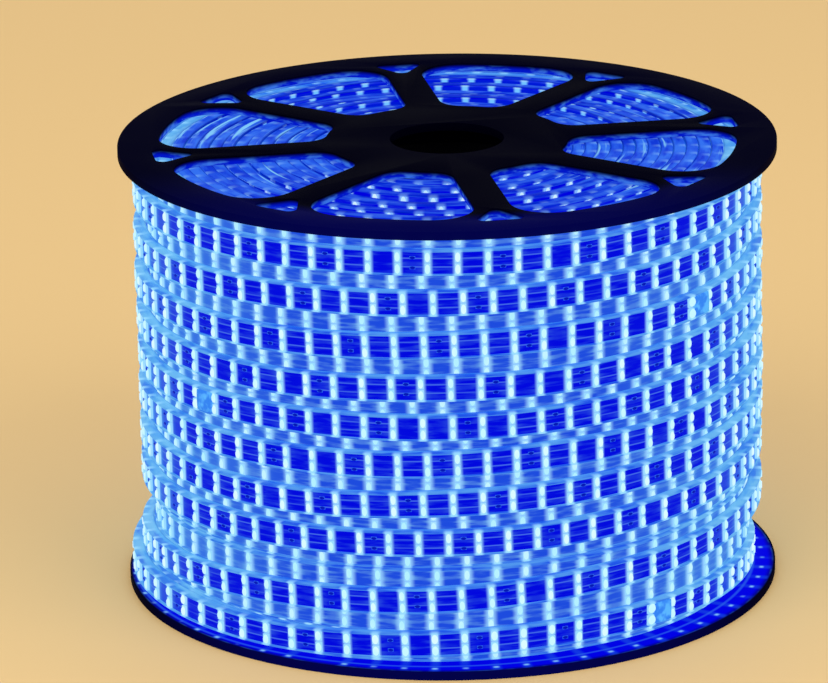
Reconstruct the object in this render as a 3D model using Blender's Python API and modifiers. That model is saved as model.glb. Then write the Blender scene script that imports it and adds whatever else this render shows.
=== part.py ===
"""A reel of flat LED rope light, standing on its lower flange, axis along Z.

Two spoked plastic flanges are joined by a core tube. The rope is wound on the
tube in layers: the outermost layer is wound open, so that the layer under it
shows between its turns. The origin is the middle of the underside.
"""
import math

import bpy

# Whole reel
REEL_HEIGHT = 0.2615
FLANGE_RADIUS = 0.190
FLANGE_THICKNESS = 0.0048
FIT_GAP = 0.0003

# Flange pattern, seen from above
SPOKES = 8
FIRST_SPOKE_ANGLE = math.radians(10.0)
SPOKE_WIDTH = 0.0205
HUB_PLATE_RADIUS = 0.070
RIM_WIDTH = 0.023
SPINDLE_BORE_RADIUS = 0.033
WINDOW_INNER_FILLET = 0.015
WINDOW_OUTER_FILLET = 0.023
RIM_HOLE_INSET = 0.0195
RIM_HOLE_WIDTH = 0.034
RIM_HOLE_DEPTH = 0.026
RIM_HOLE_FILLET = 0.0045

# Core tube and the collars that hold it
CORE_RADIUS = 0.0645
CORE_WALL = 0.0030
COLLAR_WALL = 0.0030
COLLAR_HEIGHT = 0.014

# Rope and winding
STRIP_WIDTH = 0.0145
STRIP_THICKNESS = 0.0073
STRIP_CORNER = 0.0018
WINDING_INSET = 0.0084
WINDING_TOP_CLEARANCE = 0.0025
OUTER_TURN_PITCH = 0.0248
OUTER_TURN_INSET = 0.0130
END_GROOVE_DEPTH = 0.0022

# Fineness of the round shapes
RIM_STEPS = 72
BORE_STEPS = 32
WINDING_STEPS = 40
ARC_STEP = math.radians(6.0)
FILLET_STEP = math.radians(24.0)

# Heights and radii that follow from the sizes above
LOWER_PLATE_TOP = FLANGE_THICKNESS
UPPER_PLATE_BOTTOM = REEL_HEIGHT - FLANGE_THICKNESS
WINDOW_OUTER_RADIUS = FLANGE_RADIUS - RIM_WIDTH
RIM_HOLE_OUTER = FLANGE_RADIUS - RIM_HOLE_INSET
WINDING_RADIUS = FLANGE_RADIUS - WINDING_INSET
WINDING_BORE = CORE_RADIUS + FIT_GAP
WINDING_BOTTOM = LOWER_PLATE_TOP + FIT_GAP
WINDING_TOP = UPPER_PLATE_BOTTOM - WINDING_TOP_CLEARANCE


def clear_scene():
    for old in list(bpy.data.objects):
        bpy.data.objects.remove(old, do_unlink=True)


def make_collection(name):
    collection = bpy.data.collections.new(name)
    bpy.context.scene.collection.children.link(collection)
    return collection


def make_material(name, colour, roughness):
    material = bpy.data.materials.new(name)
    material.use_nodes = True
    shader = material.node_tree.nodes["Principled BSDF"]
    shader.inputs["Base Color"].default_value = (*colour, 1.0)
    shader.inputs["Roughness"].default_value = roughness
    shader.inputs["Metallic"].default_value = 0.0
    return material


def arc(centre, radius, start, end, step):
    """Points on a circle from start to end, both included."""
    pieces = max(1, math.ceil(abs(end - start) / step - 1e-6))
    angles = [start + (end - start) * i / pieces for i in range(pieces + 1)]
    return [(centre[0] + radius * math.cos(a), centre[1] + radius * math.sin(a)) for a in angles]


def circle(radius, steps):
    return [(radius * math.cos(math.tau * i / steps), radius * math.sin(math.tau * i / steps))
            for i in range(steps)]


def turned(points, angle):
    c, s = math.cos(angle), math.sin(angle)
    return [(c * x - s * y, s * x + c * y) for x, y in points]


def mirrored(points, angle):
    """Points mirrored across the line through the centre at this angle."""
    c, s = math.cos(2 * angle), math.sin(2 * angle)
    return [(c * x + s * y, s * x - c * y) for x, y in points]


def window_outline():
    """The window on the left of a spoke that lies along +X, with rounded corners."""
    half_spoke = SPOKE_WIDTH / 2
    middle = math.pi / SPOKES
    inner_offset = half_spoke + WINDOW_INNER_FILLET
    inner_reach = HUB_PLATE_RADIUS + WINDOW_INNER_FILLET
    inner_centre = (math.sqrt(inner_reach ** 2 - inner_offset ** 2), inner_offset)
    inner_angle = math.atan2(inner_centre[1], inner_centre[0])
    outer_offset = half_spoke + WINDOW_OUTER_FILLET
    outer_reach = WINDOW_OUTER_RADIUS - WINDOW_OUTER_FILLET
    outer_centre = (math.sqrt(outer_reach ** 2 - outer_offset ** 2), outer_offset)
    outer_angle = math.atan2(outer_centre[1], outer_centre[0])
    half = arc((0, 0), HUB_PLATE_RADIUS, middle, inner_angle, ARC_STEP)[:-1]
    half += arc(inner_centre, WINDOW_INNER_FILLET, inner_angle + math.pi, 1.5 * math.pi, FILLET_STEP)
    half += arc(outer_centre, WINDOW_OUTER_FILLET, -math.pi / 2, outer_angle, FILLET_STEP)
    half += arc((0, 0), WINDOW_OUTER_RADIUS, outer_angle, middle, ARC_STEP)[1:]
    return half + mirrored(half, middle)[-2:0:-1]


def rim_hole_outline():
    """The rounded three-cornered hole at the outer end of a spoke that lies along +X."""
    apex_x = RIM_HOLE_OUTER - RIM_HOLE_DEPTH
    side_angle = math.atan2(RIM_HOLE_WIDTH / 2, RIM_HOLE_DEPTH)
    apex_centre = (apex_x + RIM_HOLE_FILLET / math.sin(side_angle), 0.0)
    corner_x = RIM_HOLE_OUTER - RIM_HOLE_FILLET
    corner_y = (corner_x - apex_x) * math.tan(side_angle) - RIM_HOLE_FILLET / math.cos(side_angle)
    half = arc(apex_centre, RIM_HOLE_FILLET, math.pi, math.pi / 2 + side_angle, 2 * FILLET_STEP)
    half += arc((corner_x, corner_y), RIM_HOLE_FILLET, math.pi / 2 + side_angle, 0.0, 2 * FILLET_STEP)
    return half + [(x, -y) for x, y in half[:0:-1]]


def flange_outlines():
    """The rim, the spindle bore, and a window and a rim hole for each spoke."""
    outlines = [circle(FLANGE_RADIUS, RIM_STEPS), circle(SPINDLE_BORE_RADIUS, BORE_STEPS)]
    for number in range(SPOKES):
        angle = FIRST_SPOKE_ANGLE + number * math.tau / SPOKES
        outlines.append(turned(window_outline(), angle))
        outlines.append(turned(rim_hole_outline(), angle))
    return outlines


def flat_plate(name, outlines, bottom, thickness, collection):
    """A plate cut from 2D outlines, as a mesh with its caps welded on."""
    curve = bpy.data.curves.new(name + "_outline", "CURVE")
    curve.dimensions = "2D"
    curve.fill_mode = "BOTH"
    curve.extrude = thickness / 2
    for outline in outlines:
        spline = curve.splines.new("POLY")
        spline.points.add(len(outline) - 1)
        for point, (x, y) in zip(spline.points, outline):
            point.co = (x, y, 0.0, 1.0)
        spline.use_cyclic_u = True
    guide = bpy.data.objects.new(name + "_outline", curve)
    collection.objects.link(guide)
    bpy.context.view_layer.update()
    evaluated = guide.evaluated_get(bpy.context.evaluated_depsgraph_get())
    mesh = bpy.data.meshes.new_from_object(evaluated)
    mesh.name = name
    bpy.data.objects.remove(guide, do_unlink=True)
    plate = bpy.data.objects.new(name, mesh)
    collection.objects.link(plate)
    plate.location = (0.0, 0.0, bottom + thickness / 2)
    weld = plate.modifiers.new("join_caps", "WELD")
    weld.merge_threshold = 0.00001
    return plate


def turned_solid(name, profile, steps, collection):
    """A closed profile in the XZ plane turned about Z; its outer side runs top to bottom."""
    edges = [(i, (i + 1) % len(profile)) for i in range(len(profile))]
    mesh = bpy.data.meshes.new(name)
    mesh.from_pydata([(r, 0.0, z) for r, z in profile], edges, [])
    solid = bpy.data.objects.new(name, mesh)
    collection.objects.link(solid)
    screw = solid.modifiers.new("turn", "SCREW")
    screw.axis = "Z"
    screw.angle = math.tau
    screw.steps = steps
    screw.render_steps = steps
    screw.use_merge_vertices = True
    screw.merge_threshold = 0.00001
    screw.use_smooth_shade = False
    return solid


def tube_profile(outer, wall, bottom, top):
    return [(outer, top), (outer, bottom), (outer - wall, bottom), (outer - wall, top)]


def make_flange(name, plate_bottom, collar_up, parts, cutters):
    """The spoked plate with the collar that plugs into the core tube."""
    flange = flat_plate(name, flange_outlines(), plate_bottom, FLANGE_THICKNESS, parts)
    middle = plate_bottom + FLANGE_THICKNESS / 2
    reach = FLANGE_THICKNESS / 2 + COLLAR_HEIGHT
    ends = (middle, middle + reach) if collar_up else (middle - reach, middle)
    collar_radius = CORE_RADIUS - CORE_WALL - FIT_GAP
    collar = turned_solid(name + "_collar", tube_profile(collar_radius, COLLAR_WALL, *ends),
                          WINDING_STEPS, cutters)
    collar.hide_render = True
    collar.display_type = "WIRE"
    join = flange.modifiers.new("collar", "BOOLEAN")
    join.operation = "UNION"
    join.solver = "EXACT"
    join.object = collar
    flange.data.materials.append(make_material(name + "_plastic", (0.008, 0.008, 0.016), 0.42))
    return flange


def make_core_tube(parts):
    bottom = LOWER_PLATE_TOP + FIT_GAP
    top = UPPER_PLATE_BOTTOM - FIT_GAP
    tube = turned_solid("core_tube", tube_profile(CORE_RADIUS, CORE_WALL, bottom, top),
                        WINDING_STEPS, parts)
    tube.data.materials.append(make_material("core_tube_plastic", (0.012, 0.012, 0.020), 0.55))
    return tube


def turn_heights():
    """Middle heights of the outermost layer's turns, from the top one down."""
    first = WINDING_TOP - OUTER_TURN_INSET
    span = first - (WINDING_BOTTOM + OUTER_TURN_INSET)
    spaces = max(1, round(span / OUTER_TURN_PITCH))
    return [first - span * i / spaces for i in range(spaces + 1)]


def side_profile(under_radius):
    """The outermost layer's turns standing on the layer under it, top to bottom."""
    points = []
    half = STRIP_WIDTH / 2
    for middle in turn_heights():
        points += [(under_radius, middle + half),
                   (WINDING_RADIUS - STRIP_CORNER, middle + half),
                   (WINDING_RADIUS, middle + half - STRIP_CORNER),
                   (WINDING_RADIUS, middle - half + STRIP_CORNER),
                   (WINDING_RADIUS - STRIP_CORNER, middle - half),
                   (under_radius, middle - half)]
    return points


def make_winding(parts):
    """All turns as one solid: strips on its side, ridges for the layers on its ends."""
    depth = WINDING_RADIUS - WINDING_BORE
    layers = max(2, round(depth / STRIP_THICKNESS))
    pitch = depth / layers
    under_radius = WINDING_RADIUS - pitch
    corner = min(STRIP_CORNER, pitch / 4)
    top_end = [(WINDING_BORE, WINDING_TOP - corner), (WINDING_BORE + pitch / 2, WINDING_TOP)]
    bottom_end = [(WINDING_BORE, WINDING_BOTTOM + corner), (WINDING_BORE + pitch / 2, WINDING_BOTTOM)]
    for layer in range(1, layers - 1):
        inner = WINDING_BORE + layer * pitch
        top_end += [(inner, WINDING_TOP - END_GROOVE_DEPTH), (inner + pitch / 2, WINDING_TOP)]
        bottom_end += [(inner, WINDING_BOTTOM + END_GROOVE_DEPTH), (inner + pitch / 2, WINDING_BOTTOM)]
    top_end.append((under_radius, WINDING_TOP - corner))
    bottom_end.append((under_radius, WINDING_BOTTOM + corner))
    profile = top_end + side_profile(under_radius) + bottom_end[::-1]
    winding = turned_solid("rope_light_winding", profile, WINDING_STEPS, parts)
    winding.data.materials.append(make_material("lit_clear_strip", (0.02, 0.22, 0.95), 0.22))
    return winding


def main():
    clear_scene()
    parts = make_collection("rope_light_reel")
    cutters = make_collection("joining_shapes")
    make_flange("lower_flange", 0.0, True, parts, cutters)
    make_flange("upper_flange", UPPER_PLATE_BOTTOM, False, parts, cutters)
    make_core_tube(parts)
    make_winding(parts)


main()
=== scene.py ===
import math

import bmesh
import bpy
import numpy as np
from bpy.props import FloatProperty, FloatVectorProperty, IntProperty, PointerProperty
from mathutils import Matrix, Vector


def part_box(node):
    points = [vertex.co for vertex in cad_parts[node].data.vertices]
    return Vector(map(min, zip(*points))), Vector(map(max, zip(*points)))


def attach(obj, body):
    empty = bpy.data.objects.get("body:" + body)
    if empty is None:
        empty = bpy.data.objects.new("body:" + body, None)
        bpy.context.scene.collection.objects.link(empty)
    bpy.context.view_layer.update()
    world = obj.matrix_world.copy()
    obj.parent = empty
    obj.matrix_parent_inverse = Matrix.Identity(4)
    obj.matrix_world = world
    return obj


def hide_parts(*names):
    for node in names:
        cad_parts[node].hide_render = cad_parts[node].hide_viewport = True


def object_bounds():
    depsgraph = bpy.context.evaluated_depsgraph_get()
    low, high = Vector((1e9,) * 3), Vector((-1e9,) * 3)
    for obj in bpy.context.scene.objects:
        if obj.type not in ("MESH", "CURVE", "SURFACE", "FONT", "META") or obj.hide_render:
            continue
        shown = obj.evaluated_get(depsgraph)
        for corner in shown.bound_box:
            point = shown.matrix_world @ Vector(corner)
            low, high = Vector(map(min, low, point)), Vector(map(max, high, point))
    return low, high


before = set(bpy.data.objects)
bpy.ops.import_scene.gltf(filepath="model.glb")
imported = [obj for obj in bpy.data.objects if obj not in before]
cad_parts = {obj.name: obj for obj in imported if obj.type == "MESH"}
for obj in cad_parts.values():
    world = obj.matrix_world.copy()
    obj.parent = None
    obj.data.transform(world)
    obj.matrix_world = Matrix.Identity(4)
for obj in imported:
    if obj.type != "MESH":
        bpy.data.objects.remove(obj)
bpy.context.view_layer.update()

bl_info = {
    "name": "Reel of LED rope light",
    "version": (1, 0, 0),
    "blender": (4, 5, 0),
    "location": "View3D > Sidebar > Rope Reel",
    "description": "Dresses a standing reel of lit LED rope light: flanges, turns of rope, chips and stage",
    "category": "Object",
}

# The frame's own sizes, in metres
REEL_LOW, REEL_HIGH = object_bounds()
WINDING_LOW, WINDING_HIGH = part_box("rope_light_winding")
CORE_LOW, CORE_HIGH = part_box("core_tube")
FLANGE_RADIUS = (REEL_HIGH.x - REEL_LOW.x) / 2
REEL_HEIGHT = REEL_HIGH.z - REEL_LOW.z
WINDING_RADIUS = (WINDING_HIGH.x - WINDING_LOW.x) / 2
CORE_RADIUS = (CORE_HIGH.x - CORE_LOW.x) / 2

# Clearances: of pieces that plug together, and of turns that lie on each other
FIT_GAP = 0.0003
TURN_GAP = 0.0004

# Windows, rim holes and collars of the flanges, and how finely their round stretches are made
WINDOW_INNER_FILLET = 0.015
WINDOW_OUTER_FILLET = 0.023
RIM_HOLE_INSET = 0.0195
RIM_HOLE_WIDTH = 0.034
RIM_HOLE_DEPTH = 0.026
RIM_HOLE_FILLET = 0.0045
CORE_WALL = 0.0030
COLLAR_WALL = 0.0030
COLLAR_HEIGHT = 0.014
COLLAR_EDGE = 0.0006
COLLAR_STEPS = 96
ARC_STEP = math.radians(3.0)
FILLET_STEP = math.radians(11.0)
RIM_STEP = math.radians(2.0)
BORE_STEP = math.radians(5.0)

# Heights of the outermost layer's turns, counted from the lowest, where they cross the middle of the
# front and a place to its left and right
OUTER_LEFT = (0.0150, 0.0395, 0.0742, 0.0962, 0.1206, 0.1430, 0.1654, 0.1892, 0.2140, 0.2400)
OUTER_HEIGHTS = (0.0175, 0.0438, 0.0786, 0.1010, 0.1236, 0.1458, 0.1686, 0.1934, 0.2188, 0.2416)
OUTER_RIGHT = (0.0208, 0.0498, 0.0800, 0.1034, 0.1262, 0.1478, 0.1692, 0.1936, 0.2188, 0.2416)
SIDE_TURN = 35.0 / 360.0
# Where the lowest turns sink and climb again round the back, in turns and metres
OUTER_SAGS = ((0.16, 0.0168), (0.26, 0.0142), (0.50, 0.0150), (0.70, 0.0250))
UNDER_SAGS = ((-1.33, 0.0121), (-0.72, 0.0121), (-0.33, 0.0262))
# Where a pair of chips lies as each turn crosses the middle of the front, as a share of the pitch
OUTER_PHASES = (0.62, 0.71, 0.12, 0.95, 0.79, 0.93, 0.98, 0.85, 0.53, 0.70)
UNDER_PHASES = (0.60, 0.74, 0.52, 0.52, 0.62, 0.80, 0.52, 0.26, 0.79, 0.92, 0.90, 0.66)
# Heights of the turns of the layer under it
UNDER_HEIGHTS = (0.0121, 0.0292, 0.0530, 0.0685, 0.0884, 0.1113,
                 0.1332, 0.1550, 0.1782, 0.2032, 0.2275, 0.2486)
# First and last turn of both layers, and how many points a turn has
OUTER_ENDS = (-0.46, 9.66)
UNDER_ENDS = (-1.33, 10.9)
OUTER_SAMPLES, UNDER_SAMPLES, DEEP_SAMPLES, END_SAMPLES = 120, 96, 64, 96
# Unevenness of hand winding: size, waves round the reel, and share of the layer's own shift
LEVEL_WAVES = ((0.0004, 2.3, 1.0), (0.0003, 5.7, 2.0))
RADIUS_WAVES = ((0.00035, 3.1, 1.7), (0.0002, 8.3, 1.0))
END_WAVES = ((0.0010, 1.0, 1.9), (0.0005, 3.0, 1.0))
# How far the top turn of each inner layer lies below the flange, from the core outwards
END_DROPS = (0.0005, 0.0030, 0.0003, 0.0028, 0.0010, 0.0034, 0.0,
             0.0046, 0.0024, 0.0044, 0.0006, 0.0032, 0.0009)
# Where two lengths of strip are joined on the outermost layer, in turns from the lowest
JOINT_TURNS = (0.108, 1.62, 3.47, 4.85, 6.40, 7.138, 8.55)
DEEP_PITCH = 0.0149
# The lowest turn is pushed off centre, out on the left and in on the right, below this height
LEAN_LEFT = 0.0060
LEAN_RIGHT = 0.0036
LEAN_HEIGHT = 0.0250
LEAN_FADE = 0.0065
# Chips are wider beside a joint, and in the lowest turn up to here
JOINT_CHIP_WIDTH = 1.9
LOW_CHIP_WIDTH = 1.25
LOW_CHIP_TURN = 0.55
# Pairs of chips in the lowest turn, and pitches from the rope's ends to its first and last pair
PAIRS_PER_TURN = 67.5
END_MARGIN = 0.3
# Shares: of a chip's height that its frame takes, of the pitch that a plug is long, of the rope's
# width between two resistors, and of the way from a plug's corners to a ball
FRAME_SHARE = 0.55
PLUG_SHARE = 0.80
RESISTOR_SPREAD = 0.28
PLUG_ROUND = 0.22
LENS_SIDES = 12
# A short way on along a path, in turns, that gives its direction
STEP_AHEAD = 0.002
# Where the rope's lower end dives behind the next turn, and how long that takes, in turns
DIVE_START, DIVE_LENGTH = -0.36, 0.10
# Start and length of an end turn, in turns: it ends a hair short of its start, under a spoke
END_START, END_TURN = 10.0 / 360.0, 0.9996
# Counts of stations that keep the looks of the deep and the end turns apart
DEEP_STATIONS, LAYER_STATIONS, LAYER_PHASE, BOTTOM_STATIONS = 7000.0, 211.0, 0.37, 3000.0
# Welding of the flange's plate, and the angles that are flat, an edge to round, or sharp
WELD_DISTANCE = 0.00001
FLAT_ANGLE = math.radians(0.5)
EDGE_ANGLE = math.radians(50.0)
PLATE_SHARP = math.radians(38.0)
ROPE_SHARP = math.radians(40.0)
# Regions of the rope's section
WALL, FACE, BACK = 0.0, 1.0, 2.0

BLACK = (0.0, 0.0, 0.0)
CHIP_BASE = (0.0, 0.04, 0.08)
HAZE = (0.022, 0.075, 0.70)

# The photograph's frame, in its pixels, and where the middle of the reel lies in it
PHOTO_WIDTH, PHOTO_HEIGHT = 828, 683
FOCAL_PIXELS = 5834.35
REEL_PIXEL = (449.8, 353.9)
SENSOR_WIDTH = 36.0
# Name, place, size and power of each lamp
LAMPS = (("key", (-1.5, -2.2, 2.5), 2.4, 34.0), ("fill", (1.9, -2.0, 2.2), 2.4, 30.0))
WORLD_STRENGTH = 0.72
FLOOR_REACH = 30.0
FLOOR_DROP = 0.0002


def length_prop(name, default, description):
    return FloatProperty(name=name, description=description, default=default, unit="LENGTH")


def angle_prop(name, default, description):
    return FloatProperty(name=name, description=description, default=default, subtype="ANGLE")


def colour_prop(name, default, description):
    return FloatVectorProperty(
        name=name, description=description, default=default, subtype="COLOR", min=0.0, max=1.0)


class ReelSizes(bpy.types.PropertyGroup):
    flange_thickness: length_prop("Flange thickness", 0.0048, "Thickness of the spoked plates")
    spokes: IntProperty(name="Spokes", description="Spokes of each flange", default=8, min=3)
    first_spoke: angle_prop("First spoke", math.radians(10.0), "Angle of the first spoke from +X")
    spoke_width: length_prop("Spoke width", 0.0205, "Width of each spoke")
    hub_radius: length_prop("Hub radius", 0.070, "Radius of the plate round the bore")
    bore_radius: length_prop("Bore radius", 0.033, "Radius of the spindle bore")
    rim_width: length_prop("Rim width", 0.023, "Width of the solid rim")
    edge_round: length_prop("Edge round", 0.0009, "Rounding of the moulded edges")
    # Black plastic, its faint blue tint a painted sheen of the rope's light
    plastic: colour_prop("Plastic", (0.0004, 0.0003, 0.0044), "Colour of the moulded plastic")


class RopeSizes(bpy.types.PropertyGroup):
    width: length_prop("Width", 0.0145, "Width of the flat rope")
    thickness: length_prop("Thickness", 0.0073, "Thickness of the flat rope")
    recess: length_prop("Recess", 0.0018, "Depth of the strip's lit face under its lips")
    lip: length_prop("Lip", 0.0009, "Width of the lips along the lit face")
    pitch: length_prop("LED pitch", 1.0 / 60.0, "Distance from one pair of chips to the next")
    chip_length: length_prop("Chip length", 0.0057, "Length of a chip across the rope")
    chip_width: length_prop("Chip width", 0.0030, "Width of a chip along the rope")
    chip_height: length_prop("Chip height", 0.0022, "Height of a chip over the strip")
    chip_gap: length_prop("Chip gap", 0.0012, "Gap between the two chips of a pair")
    resistor_length: length_prop("Resistor length", 0.0017, "Length of a resistor across the rope")
    resistor_width: length_prop("Resistor width", 0.0032, "Width of a resistor along the rope")
    resistor_height: length_prop("Resistor height", 0.0007, "Height of a resistor over the strip")
    deep: colour_prop("Deep blue", (0.0, 0.0, 0.70), "Light of the strip between the chips")
    light: colour_prop("Light blue", (0.085, 0.30, 0.76), "Light of the rope's clear walls")
    halo: colour_prop("Halo", (0.27, 0.56, 0.91), "Light close round a chip")
    core: colour_prop("Chip light", (0.53, 0.83, 0.98), "Light of the chips themselves")


class StageSizes(bpy.types.PropertyGroup):
    floor: colour_prop("Floor", (0.925, 0.615, 0.256), "Colour of the plain floor")
    distance: length_prop("Camera distance", 3.4037, "From the reel's middle to the camera")
    elevation: angle_prop("Camera elevation", 0.31042, "Angle of the view above the horizon")
    roll: angle_prop("Camera roll", 0.0135, "Turn of the view about its own axis")


def feed(tree, made, inputs):
    """Sets a node's inputs to values, or links them to sockets or to other nodes' first outputs."""
    for key, value in inputs.items():
        if isinstance(value, bpy.types.Node):
            value = value.outputs[0]
        if isinstance(value, bpy.types.NodeSocket):
            tree.links.new(value, made.inputs[key])
        else:
            made.inputs[key].default_value = value
    return made


def node(tree, kind, inputs=None, **settings):
    made = tree.nodes.new(kind)
    for key, value in settings.items():
        setattr(made, key, value)
    return feed(tree, made, inputs or {})


def calculate(tree, operation, *values):
    return node(tree, "ShaderNodeMath", dict(enumerate(values)), operation=operation).outputs[0]


def rgba(colour):
    """A colour with its alpha, or a socket as it is."""
    return colour if isinstance(colour, bpy.types.NodeSocket) else (*colour, 1.0)


class Finish:
    """A material, with short names for the nodes that its look is made of."""

    def __init__(self, name, base, roughness, specular):
        self.material = bpy.data.materials.new(name)
        self.material.use_nodes = True
        self.tree = self.material.node_tree
        self.shader = self.tree.nodes["Principled BSDF"]
        self.set({"Base Color": rgba(base), "Roughness": roughness, "Specular IOR Level": specular})

    def set(self, inputs):
        feed(self.tree, self.shader, inputs)

    def calc(self, operation, *values):
        return calculate(self.tree, operation, *values)

    def times(self, first, *others):
        for other in others:
            first = self.calc("MULTIPLY", first, other)
        return first

    def apart(self, first, second):
        """How far one value is from the other."""
        return self.calc("ABSOLUTE", self.calc("SUBTRACT", first, second))

    def fade(self, value, full, none):
        """1 where value is at full, 0 where it is at none, smooth in between."""
        settings = {"Value": value, "From Min": full, "From Max": none, "To Min": 1.0, "To Max": 0.0}
        return node(self.tree, "ShaderNodeMapRange", settings, interpolation_type="SMOOTHSTEP").outputs[0]

    def mix(self, share, first, second):
        """The second colour laid over the first by this share."""
        colours = {0: share, 6: rgba(first), 7: rgba(second)}
        return node(self.tree, "ShaderNodeMix", colours, data_type="RGBA").outputs[2]

    def place(self):
        return node(self.tree, "ShaderNodeTexCoord").outputs["Object"]

    def parts(self, vector):
        return node(self.tree, "ShaderNodeSeparateXYZ", {0: vector}).outputs

    def noise(self, vector, scale, detail):
        settings = {"Vector": vector, "Scale": scale, "Detail": detail}
        return node(self.tree, "ShaderNodeTexNoise", settings).outputs["Fac"]

    def streaks(self, along, across, stretch=0.55, fine=7.0):
        """Slow streaks drawn out along the rope."""
        drawn = vector_node(self.tree, self.times(along, stretch), self.times(across, fine))
        return self.noise(drawn, 1.0, 3.0)

    def painted_side_mask(self, full=0.95, none=0.45):
        """1 at the reel's left and right, 0 at its front and back: the mask for painted side light and
        painted side shade.
        """
        spot = self.parts(self.place())
        angle = self.calc("ARCTAN2", spot[1], spot[0])
        return self.fade(self.calc("ABSOLUTE", self.calc("COSINE", angle)), full, none)

    def wet_gloss(self, sheen=0.7):
        """The clear plastic's gloss, blue seen straight on and pale along the surface."""
        self.set({"Specular Tint": (0.04, 0.20, 1.0, 1.0), "Sheen Weight": sheen,
                  "Sheen Roughness": 0.32, "Sheen Tint": (0.03, 0.56, 0.80, 1.0)})

    def stations(self, pitch):
        """Millimetres along the rope to the nearest pair of chips, and the UV's two parts."""
        along, across, _ = self.parts(node(self.tree, "ShaderNodeUVMap", uv_map="UVMap"))
        offset = self.apart(self.calc("FRACT", self.calc("ADD", along, 0.5)), 0.5)
        return self.times(offset, pitch * 1000.0), along, across

    def lit(self, colour):
        """Gives the surface light of its own, in this colour."""
        self.set({"Emission Color": rgba(colour), "Emission Strength": 1.0})
        return self.material


def moulded_plastic(name, base, glow=None):
    """Black plastic from a lightly textured mould, with faint flow."""
    finish = Finish(name, base, 0.5, 0.0007)
    place = finish.place()
    flow = finish.noise(place, 9.0, 3.0)
    grain = finish.noise(place, 1400.0, 2.0)
    rough = node(finish.tree, "ShaderNodeMapRange", {
        "Value": flow, "From Min": 0.3, "From Max": 0.7, "To Min": 0.36, "To Max": 0.52})
    tint = finish.mix(flow, [c * 0.7 for c in base], [c * 1.4 for c in base])
    bump = node(finish.tree, "ShaderNodeBump", {"Height": grain, "Strength": 0.10, "Distance": 0.0004})
    finish.set({"Roughness": rough, "Base Color": tint, "Normal": bump})
    # Painted light: the rope's blue light on the plates
    if glow:
        add_spill(finish, place, glow)
    return finish.material


def add_spill(finish, place, glow):
    """Blue light of the rope caught by the plates."""
    calc, fade, mix = finish.calc, finish.fade, finish.mix
    x, y, height = finish.parts(place)
    radius = calc("SQRT", calc("ADD", calc("POWER", x, 2.0), calc("POWER", y, 2.0)))
    angle = calc("ARCTAN2", y, x)
    tilt = finish.parts(node(finish.tree, "ShaderNodeNewGeometry").outputs["True Normal"])[2]
    inward = finish.times(tilt, calc("SIGN", calc("SUBTRACT", REEL_HEIGHT / 2, height)))
    ring_share, ring_colour = ring_spill(finish, place, radius, angle, inward, glow)
    wall_share, wall_colour = window_spill(finish, place, radius, height, tilt)
    # Painted blue glow on the rim between windows and edge, strongest at the front
    painted_rim_glow = mix(fade(calc("SINE", angle), -1.0, -0.3), (0.0, 0.0, 0.004), (0.0004, 0.0006, 0.060))
    rim = mix(fade(radius, FLANGE_RADIUS - 0.021, FLANGE_RADIUS - 0.036), BLACK, painted_rim_glow)
    colour = mix(ring_share, wall_colour, ring_colour)
    finish.lit(mix(calc("MAXIMUM", ring_share, wall_share), rim, colour))


def ring_spill(finish, place, radius, angle, inward, glow):
    """Share and colour of the plates' rings outside the winding: painted light and painted reflections of the
    nearest turn.
    """
    calc, times, fade, mix = finish.calc, finish.times, finish.fade, finish.mix
    # A painted reflection of each pair of chips of the lowest turn, a dot halfway out on the ring
    per_turn = running_stations(OUTER_PHASES[:2], PAIRS_PER_TURN)[1] - OUTER_PHASES[0]
    station = calc("MULTIPLY_ADD", angle, per_turn / math.tau, OUTER_PHASES[0] + per_turn / 4 + 0.5)
    from_dot = finish.apart(calc("FRACT", station), 0.5)
    side = calc("COSINE", angle)
    pushed = calc("MAXIMUM", times(side, -LEAN_LEFT), times(side, -LEAN_RIGHT))
    from_foot = calc("SUBTRACT", calc("SUBTRACT", radius, WINDING_RADIUS), pushed)
    halfway = calc("MULTIPLY_ADD", pushed, -0.5, (FLANGE_RADIUS - WINDING_RADIUS) / 2 - 0.0016)
    blotch = finish.noise(place, 38.0, 2.0)
    chip_reflection = times(fade(from_dot, 0.02, 0.14), fade(finish.apart(from_foot, halfway), 0.0002, 0.0019),
                fade(blotch, 0.54, 0.34))
    # Painted reflections: a smear of light below each dot, and a line of the lowest turn's lip at the
    # winding's foot
    smeared_reflection = times(fade(from_dot, 0.03, 0.24), fade(blotch, 0.60, 0.36), 0.6)
    foot_reflection = times(fade(finish.apart(from_foot, -0.0010), 0.0002, 0.0014), 0.35)
    colour = mix(fade(radius, FLANGE_RADIUS - 0.0050, FLANGE_RADIUS - 0.0012), (0.0, 0.0, 0.26), glow)
    colour = mix(smeared_reflection, colour, (0.008, 0.06, 0.74))
    colour = mix(foot_reflection, colour, (0.04, 0.20, 0.82))
    colour = mix(chip_reflection, colour, (0.20, 0.50, 0.92))
    beyond = calc("GREATER_THAN", radius, WINDING_RADIUS - 0.030)
    open_ring = fade(radius, FLANGE_RADIUS - 0.0024, FLANGE_RADIUS - 0.0006)
    return times(open_ring, fade(inward, 0.98, 0.6), beyond), colour


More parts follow.
